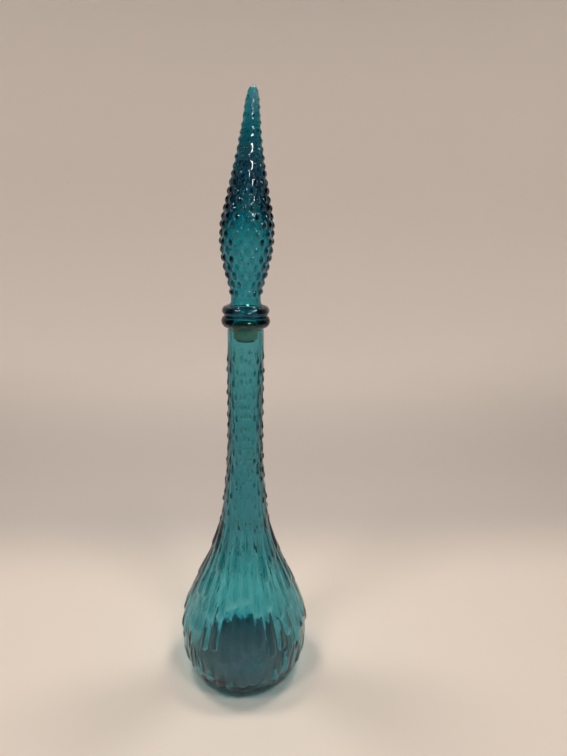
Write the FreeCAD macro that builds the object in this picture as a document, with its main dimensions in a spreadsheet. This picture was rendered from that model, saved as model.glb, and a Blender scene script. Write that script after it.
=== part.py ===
"""Genie bottle: a mould-blown glass bottle with a long neck and a tall hobnailed stopper in a cork sleeve.

Millimetres, +Z up, origin on the bottle's axis at the surface that it stands on.
Three pieces: the bottle, the hollow stopper, and the cork sleeve on the stopper's peg.
The stopper lifts out with its cork, and turns about the bottle's axis.
"""
import FreeCAD
import Part
import math
import os

import Sketcher

# Driving dimensions: alias, value, what it measures.
# A profile's sizes run from its foot to its top. A radius and a rise place a pole that the outline bends
# towards, and a rise is counted from the pole before it.
DIMENSIONS = [
    ("foot_radius", 45.0, "outer edge of the flat ring that the bottle stands on"),
    ("foot_inner_radius", 33.0, "inner edge of that ring"),
    ("punt_height", 4.0, "hollow under the base, at its middle"),
    ("floor_thickness", 8.0, "glass above the hollow"),
    ("wall", 3.6, "glass of the bulb and the neck"),
    ("heel_radius", 51.8, "where the base turns up into the bulb"),
    ("low_bulb_radius", 61.4, "lower bulb"),
    ("low_bulb_rise", 17.5, "its rise above the surface that the bottle stands on"),
    ("bulb_radius", 66.2, "widest part of the bulb"),
    ("bulb_rise", 34.1, "its rise"),
    ("shoulder_radius", 57.9, "where the bulb turns into the slope"),
    ("shoulder_rise", 28.3, "its rise"),
    ("slope_radius", 40.9, "straight slope"),
    ("slope_rise", 38.7, "its rise"),
    ("throat_radius", 24.3, "where the slope turns up into the neck"),
    ("throat_rise", 38.7, "its rise"),
    ("flare_radius", 19.4, "flare of the neck"),
    ("flare_rise", 47.7, "its rise"),
    ("bend_rise", 34.0, "where the flare turns into the straight neck"),
    ("neck_radius", 16.2, "outside of the straight neck"),
    ("neck_rise", 31.0, "lower end of the straight neck"),
    ("neck_length", 95.4, "straight neck, up to the lip"),
    ("drip_half_width", 4.8, "half width of the round section of a glass drip on the bulb"),
    ("drip_rise", 1.3, "height of a drip above the glass round it"),
    ("drip_root_gap", 0.5, "plain glass between a drip's round section and the inside of the wall"),
    ("foot_drip_count", 17, "drips round the lower bulb"),
    ("foot_drip_end", 10.0, "height of the lowest end among them"),
    ("foot_drip_spread", 16.0, "from the lowest end to the highest"),
    ("foot_drip_length", 22.0, "length of each"),
    ("bulb_drip_count", 17, "drips round the upper bulb"),
    ("bulb_drip_end", 46.0, "height of the lowest end among them"),
    ("bulb_drip_spread", 24.0, "from the lowest end to the highest"),
    ("bulb_drip_length", 20.0, "length of each"),
    ("lip_thickness", 10.6, "height of the rolled lip"),
    ("lip_land", 0.3, "flat under and over the lip, from the neck to the roll"),
    ("mouth_bevel", 0.8, "bevel inside the mouth"),
    ("collar_thickness", 8.0, "height of the stopper's collar"),
    ("collar_land", 0.9, "from the neck's outside to the middle of the collar's round rim"),
    ("cork_length", 21.0, "cork sleeve below the collar"),
    ("cork_wall", 3.9, "cork round the peg, at its upper end"),
    ("cork_taper", 2.0, "from the cork's upper radius to its lower one"),
    ("cork_chamfer", 0.6, "bevel on the cork's lower rim"),
    ("cork_slide_gap", 0.1, "between the cork and the neck, all round"),
    ("peg_turn_gap", 0.05, "between the peg and the cork, all round"),
    ("peg_wall", 2.6, "glass of the stopper's hollow peg"),
    ("peg_stub", 2.0, "peg below the cork"),
    ("finial_lean", 1.5, "degrees that the finial leans from the collar's axis"),
    ("finial_seat", 3.0, "depth of the finial's foot in the collar"),
    ("ankle_radius", 16.2, "flared foot of the finial"),
    ("ankle_rise", 1.6, "its rise above the foot"),
    ("waist_radius", 12.7, "waist of the finial"),
    ("waist_rise", 4.0, "its rise"),
    ("swell_radius", 13.0, "where the waist opens into the belly"),
    ("swell_rise", 13.4, "its rise"),
    ("low_belly_radius", 20.3, "lower belly"),
    ("low_belly_rise", 21.0, "its rise"),
    ("belly_radius", 23.8, "widest part of the belly"),
    ("belly_rise", 30.4, "its rise"),
    ("low_flame_radius", 17.1, "where the belly draws in to the flame"),
    ("low_flame_rise", 21.9, "its rise"),
    ("flame_radius", 11.4, "half way up the flame"),
    ("flame_rise", 31.8, "its rise"),
    ("high_flame_radius", 6.3, "near the tip"),
    ("high_flame_rise", 30.0, "its rise"),
    ("tip_radius", 4.9, "roundness of the tip"),
    ("tip_rise", 24.9, "its rise"),
    ("finial_wall", 4.2, "glass of the belly, under a flame that is solid"),
    ("cavity_step", 2.4, "from the peg's bore out to the cavity in the finial"),
    ("cavity_draw_radius", 7.8, "where the cavity draws in above the belly"),
    ("cavity_draw_rise", 16.6, "its rise above the widest part of the belly"),
    ("cavity_tip_radius", 3.6, "roundness of the cavity's upper end"),
    ("cavity_tip_rise", 26.0, "its rise"),
    ("hobnail_count", 14, "hobnails in each row"),
    ("hobnail_pitch", 7.3, "height from one row of hobnails to the next"),
    ("hobnail_foot_gap", 12.5, "plain glass between the collar and the lowest row"),
    ("hobnail_tip_gap", 8.0, "plain glass above the highest row"),
    ("hobnail_share", 0.30, "half width of a hobnail, as a share of the way to the next in its row"),
    ("hobnail_half_width", 2.9, "largest half width of a hobnail"),
    ("hobnail_steepness", 0.72, "height of a hobnail, as a share of its half width"),
]
SHEET = "Sizes"
CURVE_DEGREE = 3
FULL_TURN = 360.0
PARTS_FOLDER = "parts"
PUNT_EDGE_SHARE = 0.8
HOBNAIL_START = 0.25
DRIP_TIERS = ("foot_drip", "bulb_drip")
DRIP_START = 46.0
DRIP_TIER_SHIFT = 0.25
GOLDEN_SHARE = 0.618
# Sections of a drip, from its round lower end to its tail: place as a share of the length, and size.
DRIP_SECTIONS = ((-0.06, 0.35), (0.06, 0.85), (0.2, 1.0), (0.6, 0.9), (1.0, 0.35))


class Size:
    """A number and the sheet expression that gives it."""

    def __init__(self, value, text):
        self.value = value
        self.text = text

    def combine(self, other, sign, result):
        """A new size from this one and another size or plain number."""
        text = other.text if isinstance(other, Size) else repr(other)
        return Size(result, f"({self.text} {sign} {text})")

    def __add__(self, other):
        return self.combine(other, "+", self.value + number(other))

    def __sub__(self, other):
        return self.combine(other, "-", self.value - number(other))

    def __mul__(self, other):
        return self.combine(other, "*", self.value * number(other))

    def __truediv__(self, other):
        return self.combine(other, "/", self.value / number(other))


def number(size):
    """The plain number of a size or a number."""
    return size.value if isinstance(size, Size) else size


ZERO = Size(0.0, "0")


def make_sheet(doc):
    """Write the driving dimensions to a spreadsheet and return them by alias."""
    sheet = doc.addObject("Spreadsheet::Sheet", SHEET)
    for row, (alias, value, note) in enumerate(DIMENSIONS, start=1):
        sheet.set(f"A{row}", alias)
        sheet.set(f"B{row}", str(value))
        sheet.setAlias(f"B{row}", alias)
        sheet.set(f"C{row}", note)
    doc.recompute()
    return {alias: Size(float(sheet.get(alias)), f"{SHEET}.{alias}") for alias, _, _ in DIMENSIONS}


def origin_plane(body, role):
    """One of a body's own origin planes."""
    return next(item for item in body.Origin.OriginFeatures if item.Role == role)


def place_point(sketch, geometry, vertex, point):
    """Tie a vertex of the sketch to its radius and height."""
    axis_of = {"X": -2, "Y": -1}
    for direction, size in zip("XY", point):
        if size is ZERO:
            rule = Sketcher.Constraint("PointOnObject", geometry, vertex, axis_of[direction])
            sketch.addConstraint(rule)
            continue
        rule = Sketcher.Constraint(f"Distance{direction}", -1, 1, geometry, vertex, size.value)
        index = sketch.addConstraint(rule)
        sketch.setExpression(f"Constraints[{index}]", size.text)


def vector(point):
    """A sketch point as a vector."""
    return FreeCAD.Vector(point[0].value, point[1].value, 0)


def add_line(sketch, start, end):
    """A straight edge. Its start is tied to sizes, and its end joins the next edge."""
    geometry = sketch.addGeometry(Part.LineSegment(vector(start), vector(end)), False)
    place_point(sketch, geometry, 1, start)
    return geometry, 1, 2


def add_half_round(sketch, start, end):
    """A half circle that bulges away from the axis, from its lower end to its upper end."""
    centre = (vector(start) + vector(end)) / 2
    radius = (vector(end) - vector(start)).Length / 2
    circle = Part.Circle(centre, FreeCAD.Vector(0, 0, 1), radius)
    arc = Part.ArcOfCircle(circle, -math.pi / 2, math.pi / 2)
    geometry = sketch.addGeometry(arc, False)
    place_point(sketch, geometry, 1, start)
    index = sketch.addConstraint(Sketcher.Constraint("DistanceX", -1, 1, geometry, 3, centre.x))
    sketch.setExpression(f"Constraints[{index}]", start[0].text)
    return geometry, 1, 2


def add_curve(sketch, *poles):
    """A smooth curve that starts at the first pole, bends towards the others and ends at the last."""
    curve = Part.BSplineCurve()
    curve.buildFromPoles([vector(pole) for pole in poles], False, CURVE_DEGREE)
    geometry = sketch.addGeometry(curve, False)
    for index, pole in enumerate(poles):
        marker = Part.Circle(vector(pole), FreeCAD.Vector(0, 0, 1), 1.0)
        handle = sketch.addGeometry(marker, True)
        rule = "InternalAlignment:Sketcher::BSplineControlPoint"
        sketch.addConstraint(Sketcher.Constraint(rule, handle, 3, geometry, index))
        sketch.addConstraint(Sketcher.Constraint("Weight", handle, 1.0))
        if index < len(poles) - 1:
            place_point(sketch, handle, 3, pole)
    return geometry, 1, 2


def revolve(doc, name, edges):
    """A body whose closed half profile, given edge by edge, is turned about the body's own axis."""
    body = doc.addObject("PartDesign::Body", name)
    sketch = body.newObject("Sketcher::SketchObject", f"{name}_profile")
    sketch.AttachmentSupport = [(origin_plane(body, "XZ_Plane"), "")]
    sketch.MapMode = "FlatFace"
    placed = [make(sketch, *points) for make, *points in edges]
    for (geometry, _, end), (following, start, _) in zip(placed, placed[1:] + placed[:1]):
        sketch.addConstraint(Sketcher.Constraint("Coincident", geometry, end, following, start))
    turned = body.newObject("PartDesign::Revolution", f"{name}_turned")
    turned.Profile = sketch
    turned.ReferenceAxis = (sketch, ["V_Axis"])
    turned.Angle = FULL_TURN
    body.Tip = turned
    return body


def heights(s, base, *names):
    """Heights of the named poles, each counted from the one before."""
    found = []
    for name in names:
        base = base + s[f"{name}_rise"]
        found.append(base)
    return found


BULB_POLES = ("low_bulb", "bulb", "shoulder", "slope", "throat", "flare")


def bulb_outline(s):
    """Poles of the bottle's outside, from the edge of its foot to the lower end of the straight neck."""
    *rises, bend_height, neck_base = heights(s, ZERO, *BULB_POLES, "bend", "neck")
    side = [(s[f"{name}_radius"], height) for name, height in zip(BULB_POLES, rises)]
    neck = s["neck_radius"]
    base = [(s["foot_radius"], ZERO), (s["heel_radius"], ZERO)]
    return [*base, *side, (neck, bend_height), (neck, neck_base)]


def make_blank(doc, s):
    """The plain bottle: bulb, long neck and rolled lip in one piece, with a hollow under its base."""
    outline = bulb_outline(s)
    *side, (_, bend_height), (_, neck_base) = outline[2:]
    inner_side = [(radius - s["wall"], height) for radius, height in side[:0:-1]]
    neck, bore, roll = s["neck_radius"], bore_radius(s), s["neck_radius"] + s["lip_land"]
    lip_bottom = neck_base + s["neck_length"]
    mouth = lip_bottom + s["lip_thickness"]
    floor = s["punt_height"] + s["floor_thickness"]
    ring = s["foot_inner_radius"]
    edges = [
        (add_line, (ring, ZERO), (s["foot_radius"], ZERO)),
        (add_curve, *outline),
        (add_line, (neck, neck_base), (neck, lip_bottom)),
        (add_line, (neck, lip_bottom), (roll, lip_bottom)),
        (add_half_round, (roll, lip_bottom), (roll, mouth)),
        (add_line, (roll, mouth), (bore + s["mouth_bevel"], mouth)),
        (add_line, (bore + s["mouth_bevel"], mouth), (bore, mouth - s["mouth_bevel"])),
        (add_line, (bore, mouth - s["mouth_bevel"]), (bore, neck_base)),
        (add_curve, (bore, neck_base), (bore, bend_height), *inner_side,
         (s["low_bulb_radius"] - s["wall"], floor), (ring, floor)),
        (add_line, (ring, floor), (ZERO, floor)),
        (add_line, (ZERO, floor), (ZERO, s["punt_height"])),
        (add_curve, (ZERO, s["punt_height"]), (ring / 2, s["punt_height"]),
         (ring * PUNT_EDGE_SHARE, s["punt_height"] / 2), (ring, ZERO)),
    ]
    return revolve(doc, "bottle_blank", edges)


def side_curve(outline):
    """The curve that a sketch draws from these poles."""
    curve = Part.BSplineCurve()
    curve.buildFromPoles([vector(pole) for pole in outline], False, CURVE_DEGREE)
    return curve


def at_height(curve, height):
    """Where a side's curve passes a height."""
    reach = max(pole.x for pole in curve.getPoles())
    level = Part.LineSegment(FreeCAD.Vector(0, height, 0), FreeCAD.Vector(reach, height, 0))
    crossing = curve.intersect(level)[0]
    return FreeCAD.Vector(crossing.X, crossing.Y, 0)


def make_drip(s, curve, end, length, turn):
    """One drip down the outside of the bulb, with a round lower end and a tail that sinks into it."""
    half_depth = (s["drip_rise"] + s["wall"] - s["drip_root_gap"]) / 2
    foot = curve.parameter(at_height(curve, end))
    sections = []
    for share, scale in DRIP_SECTIONS:
        where = curve.parameterAtDistance(share * length, foot)
        place, along = curve.value(where), curve.tangent(where)[0]
        outward = FreeCAD.Vector(along.y, -along.x, 0)
        centre = place - outward * (half_depth - s["drip_rise"]).value
        broad = centre + FreeCAD.Vector(0, 0, scale * s["drip_half_width"].value)
        deep = centre + outward * (scale * half_depth.value)
        sections.append(Part.Wire(Part.Ellipse(broad, deep, centre).toShape()))
    drip = Part.makeLoft(sections, True)
    drip.rotate(FreeCAD.Vector(), FreeCAD.Vector(1, 0, 0), 90)
    drip.rotate(FreeCAD.Vector(), FreeCAD.Vector(0, 0, 1), turn)
    return drip


def make_drips(s):
    """Two tiers of drips round the bulb. The golden section scatters their lower ends."""
    curve = side_curve(bulb_outline(s))
    drips = []
    for tier, name in enumerate(DRIP_TIERS):
        count = int(s[f"{name}_count"].value)
        for index in range(count):
            turn = DRIP_START + (index + tier * DRIP_TIER_SHIFT) * FULL_TURN / count
            spread = index * GOLDEN_SHARE % 1 * s[f"{name}_spread"].value
            end = s[f"{name}_end"].value + spread
            drips.append(make_drip(s, curve, end, s[f"{name}_length"].value, turn))
    return drips


def make_bottle(doc, s):
    """The bottle in one piece: the plain bottle with the drips on its bulb."""
    blank = make_blank(doc, s)
    doc.recompute()
    bottle = doc.addObject("Part::Feature", "bottle")
    bottle.Shape = blank.Shape.multiFuse(make_drips(s))
    return bottle


def bore_radius(s):
    """Inside of the neck."""
    return s["neck_radius"] - s["wall"]


def cork_radius(s):
    """Outside of the cork sleeve at its upper end, which slides in the neck."""
    return bore_radius(s) - s["cork_slide_gap"]


def peg_radius(s):
    """Outside of the peg, which turns in the cork sleeve."""
    return cork_radius(s) - s["cork_wall"] - s["peg_turn_gap"]


def mouth_height(s):
    """Top of the lip, which the collar rests on."""
    neck_base = heights(s, ZERO, *BULB_POLES, "bend", "neck")[-1]
    return neck_base + s["neck_length"] + s["lip_thickness"]


def seat_on_mouth(item, s):
    """Raise a piece, drawn from the collar's underside, to the top of the lip."""
    item.setExpression("Placement.Base.z", mouth_height(s).text)


def make_cork_sleeve(doc, s):
    """The cork sleeve round the peg, tapered so that it draws out of the neck."""
    outer = cork_radius(s)
    inner = outer - s["cork_wall"]
    slim = outer - s["cork_taper"]
    bottom = ZERO - s["cork_length"]
    edges = [
        (add_line, (inner, bottom), (slim - s["cork_chamfer"], bottom)),
        (add_line, (slim - s["cork_chamfer"], bottom), (slim, bottom + s["cork_chamfer"])),
        (add_line, (slim, bottom + s["cork_chamfer"]), (outer, ZERO)),
        (add_line, (outer, ZERO), (inner, ZERO)),
        (add_line, (inner, ZERO), (inner, bottom)),
    ]
    sleeve = revolve(doc, "cork_sleeve", edges)
    seat_on_mouth(sleeve, s)
    return sleeve


def make_collar(doc, s):
    """The stopper's round collar with the hollow peg under it."""
    outer = peg_radius(s)
    bore = outer - s["peg_wall"]
    bottom = ZERO - s["cork_length"] - s["peg_stub"]
    top = s["collar_thickness"]
    roll = s["neck_radius"] + s["collar_land"]
    edges = [
        (add_line, (bore, bottom), (outer, bottom)),
        (add_line, (outer, bottom), (outer, ZERO)),
        (add_line, (outer, ZERO), (roll, ZERO)),
        (add_half_round, (roll, ZERO), (roll, top)),
        (add_line, (roll, top), (bore, top)),
        (add_line, (bore, top), (bore, bottom)),
    ]
    collar = revolve(doc, "collar", edges)
    seat_on_mouth(collar, s)
    return collar


FINIAL_POLES = ("ankle", "waist", "swell", "low_belly", "belly", "low_flame", "flame", "high_flame", "tip")


def finial_outline(s):
    """Poles of the finial's outside, from its foot in the collar to its tip on the axis."""
    foot = s["collar_thickness"] - s["finial_seat"]
    rises = heights(s, foot, *FINIAL_POLES)
    side = [(s[f"{name}_radius"], height) for name, height in zip(FINIAL_POLES, rises)]
    return [(s["ankle_radius"], foot), *side, (ZERO, rises[-1])]


def make_finial(doc, s):
    """The hollow finial: waist, belly and flame, leaning a little from the collar's axis."""
    outline = finial_outline(s)
    (_, foot), _, (_, waist), *belly = outline[:6]
    cavity_foot = peg_radius(s) - s["peg_wall"] + s["cavity_step"]
    draw, tip = heights(s, belly[-1][1], "cavity_draw", "cavity_tip")
    cavity = [(cavity_foot, foot), (cavity_foot, waist)]
    cavity += [(radius - s["finial_wall"], height) for radius, height in belly]
    cavity += [(s["cavity_draw_radius"], draw), (s["cavity_tip_radius"], tip), (ZERO, tip)]
    edges = [
        (add_curve, *outline),
        (add_line, outline[-1], cavity[-1]),
        (add_curve, *reversed(cavity)),
        (add_line, cavity[0], outline[0]),
    ]
    finial = revolve(doc, "finial", edges)
    seat_on_mouth(finial, s)
    finial.Placement.Rotation = FreeCAD.Rotation(FreeCAD.Vector(0, 1, 0), s["finial_lean"].value)
    finial.setExpression("Placement.Rotation.Angle", s["finial_lean"].text)
    return finial


def make_hobnails(s):
    """Rows of round hobnails on the finial, each row half a step round from the one below."""
    outline = finial_outline(s)
    curve = side_curve(outline)
    count = int(s["hobnail_count"].value)
    step = 2 * math.pi / count
    first = (s["collar_thickness"] + s["hobnail_foot_gap"]).value
    span = (outline[-1][1] - s["hobnail_tip_gap"]).value - first
    rows = round(span / s["hobnail_pitch"].value)
    nails = []
    for row in range(rows + 1):
        height = first + span * row / rows
        place = at_height(curve, height)
        along = curve.tangent(curve.parameter(place))[0]
        half_width = min(s["hobnail_half_width"].value, s["hobnail_share"].value * place.x * step)
        rise = half_width * s["hobnail_steepness"].value
        radius = (half_width ** 2 + rise ** 2) / (2 * rise)
        centre = place - FreeCAD.Vector(along.y, -along.x, 0) * (radius - rise)
        for column in range(count):
            turn = (column + row % 2 / 2 + HOBNAIL_START) * step
            nails.append(Part.makeSphere(radius, FreeCAD.Vector(
                centre.x * math.cos(turn), centre.x * math.sin(turn), centre.y)))
    return nails


def make_stopper(doc, s):
    """The stopper in one piece: collar and peg, finial and hobnails."""
    finial = make_finial(doc, s)
    blank = doc.addObject("Part::Fuse", "stopper_blank")
    blank.Base = make_collar(doc, s)
    blank.Tool = finial
    doc.recompute()
    nails = make_hobnails(s)
    for nail in nails:
        nail.Placement = finial.Placement
    stopper = doc.addObject("Part::Feature", "stopper")
    stopper.Shape = blank.Shape.multiFuse(nails)
    return stopper


def check(doc, pieces):
    """Stop unless every object computed and every piece is one valid solid."""
    faults = [item.Name for item in doc.Objects if {"Invalid", "Error"} & set(item.State)]
    for piece in pieces:
        shape = piece.Shape
        if shape.isNull() or not shape.isValid() or len(shape.Solids) != 1:
            faults.append(piece.Label)
    if faults:
        raise RuntimeError(f"these did not build: {', '.join(faults)}")


def main():
    """Build every piece, check it and write it out."""
    doc = FreeCAD.newDocument("genie_bottle")
    s = make_sheet(doc)
    pieces = [make_bottle(doc, s), make_cork_sleeve(doc, s), make_stopper(doc, s)]
    doc.recompute()
    check(doc, pieces)
    os.makedirs(PARTS_FOLDER, exist_ok=True)
    for piece in pieces:
        piece.Shape.exportStep(os.path.join(PARTS_FOLDER, f"{piece.Label}.step"))
        box = piece.Shape.BoundBox
        print(f"{piece.Label}: {piece.Shape.Volume:.0f} mm3, {box.ZMin:.1f} to {box.ZMax:.1f} mm high")


main()
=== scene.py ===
"""Looks of a tall teal genie bottle with a hobnailed stopper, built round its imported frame.

The bottle and its stopper are closed shells of coloured glass, turned from the frame's own outlines and then
raised into drips and hobnails, as the mould leaves them. A ground cork sleeve sits round the stopper's peg.
Sizes are written in millimetres, and the scene is in metres.
"""

import logging
import math
import random
from bisect import bisect_left, bisect_right
from dataclasses import dataclass, field
from enum import Enum
from functools import cached_property
from typing import Any, Iterator, Optional

import bmesh
import bpy
from mathutils import Matrix, Vector, noise


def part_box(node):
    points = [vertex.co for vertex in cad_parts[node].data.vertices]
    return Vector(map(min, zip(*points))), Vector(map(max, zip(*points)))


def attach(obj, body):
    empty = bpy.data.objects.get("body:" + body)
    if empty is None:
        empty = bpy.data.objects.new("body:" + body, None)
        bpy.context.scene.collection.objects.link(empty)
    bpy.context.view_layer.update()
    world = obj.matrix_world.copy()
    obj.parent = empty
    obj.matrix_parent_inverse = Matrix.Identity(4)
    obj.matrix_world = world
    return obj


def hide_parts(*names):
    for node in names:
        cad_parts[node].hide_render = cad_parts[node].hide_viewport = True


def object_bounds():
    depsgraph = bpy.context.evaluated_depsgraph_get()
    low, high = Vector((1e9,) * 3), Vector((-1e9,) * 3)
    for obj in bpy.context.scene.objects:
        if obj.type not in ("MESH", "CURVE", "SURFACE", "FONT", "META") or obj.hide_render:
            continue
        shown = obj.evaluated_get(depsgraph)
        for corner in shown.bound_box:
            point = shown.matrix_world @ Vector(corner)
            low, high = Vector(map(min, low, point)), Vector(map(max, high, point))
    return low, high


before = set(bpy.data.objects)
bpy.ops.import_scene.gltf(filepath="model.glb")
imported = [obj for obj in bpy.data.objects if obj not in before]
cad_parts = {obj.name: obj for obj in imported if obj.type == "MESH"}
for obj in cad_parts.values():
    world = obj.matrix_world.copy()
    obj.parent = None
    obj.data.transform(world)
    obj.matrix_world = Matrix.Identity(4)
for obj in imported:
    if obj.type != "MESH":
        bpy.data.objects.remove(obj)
CAD_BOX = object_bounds()

LOG = logging.getLogger("genie_bottle")
MM = 0.001
FULL_TURN = 2 * math.pi
GOLDEN_SHARE = 0.618
MERGE_DISTANCE = 1e-7
RING_TOLERANCE = 1e-6
LIGHT_BOUNCES = 24

Pole = tuple[float, float]
Span = tuple[float, float]


class Skin(Enum):
    """What the mould leaves on a stretch of the outline."""

    PLAIN = 0
    RAISED = 1
    BLOWN = 2


class LampRole(Enum):
    """What a lamp does: serve every surface, light matt ones alone, or only glint in polished ones."""

    FULL = "full"
    FILL = "fill"
    GLINT = "glint"


def linear(colour: str, alpha: float = 1.0) -> tuple[float, float, float, float]:
    """Turn an sRGB hex colour into the linear one that the shaders take.

    Args:
        colour: six hex digits, red first.
        alpha: the fourth number of the result.

    Returns:
        Red, green, blue and alpha.
    """
    parts = [int(colour[index:index + 2], 16) / 255 for index in (0, 2, 4)]
    red, green, blue = (part / 12.92 if part <= 0.04045 else ((part + 0.055) / 1.055) ** 2.4
                        for part in parts)
    return red, green, blue, alpha


def add_node(tree: bpy.types.NodeTree, kind: str, inputs: Optional[dict[Any, Any]] = None,
             **settings: Any) -> bpy.types.Node:
    """Add a shader node with its settings and links.

    Args:
        tree: the node tree of a material or of the world.
        kind: the node's type name.
        inputs: by input name or number, a value or the output socket that feeds it.
        settings: the node's own properties.

    Returns:
        The new node.
    """
    node = tree.nodes.new(kind)
    for name, value in settings.items():
        setattr(node, name, value)
    for name, value in (inputs or {}).items():
        if isinstance(value, bpy.types.NodeSocket):
            tree.links.new(value, node.inputs[name])
        else:
            node.inputs[name].default_value = value
    return node


def blank_material(name: str) -> bpy.types.Material:
    """A new material with an empty node tree."""
    material = bpy.data.materials.new(name)
    material.use_nodes = True
    material.node_tree.nodes.clear()
    return material


def per_millimetre(size: float) -> float:
    """The texture scale, in metres, of a pattern whose features are so many millimetres wide."""
    return 1 / (size * MM)


def share_between(tree: bpy.types.NodeTree, length: bpy.types.NodeSocket, span: Span, ends: Span = (0.0, 1.0),
                  smooth: bool = False) -> bpy.types.NodeSocket:
    """Turn a length into a share that runs from one end of a span to the other.

    Args:
        tree: the material's nodes.
        length: the length, in metres.
        span: the two lengths between which the share runs, in millimetres.
        ends: the share at each of them and beyond.
        smooth: whether it eases in and out.

    Returns:
        The share.
    """
    return add_node(tree, "ShaderNodeMapRange", {
        "Value": length, "From Min": span[0] * MM, "From Max": span[1] * MM,
        "To Min": ends[0], "To Max": ends[1]},
        interpolation_type="SMOOTHSTEP" if smooth else "LINEAR").outputs["Result"]


def blend(tree: bpy.types.NodeTree, share: bpy.types.NodeSocket, first: Any,
          second: Any) -> bpy.types.NodeSocket:
    """Mix two colours, each a value or a socket: a share of 0 gives the first, and 1 the second."""
    return add_node(tree, "ShaderNodeMix", {0: share, 6: first, 7: second}, data_type="RGBA").outputs[2]


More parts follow.
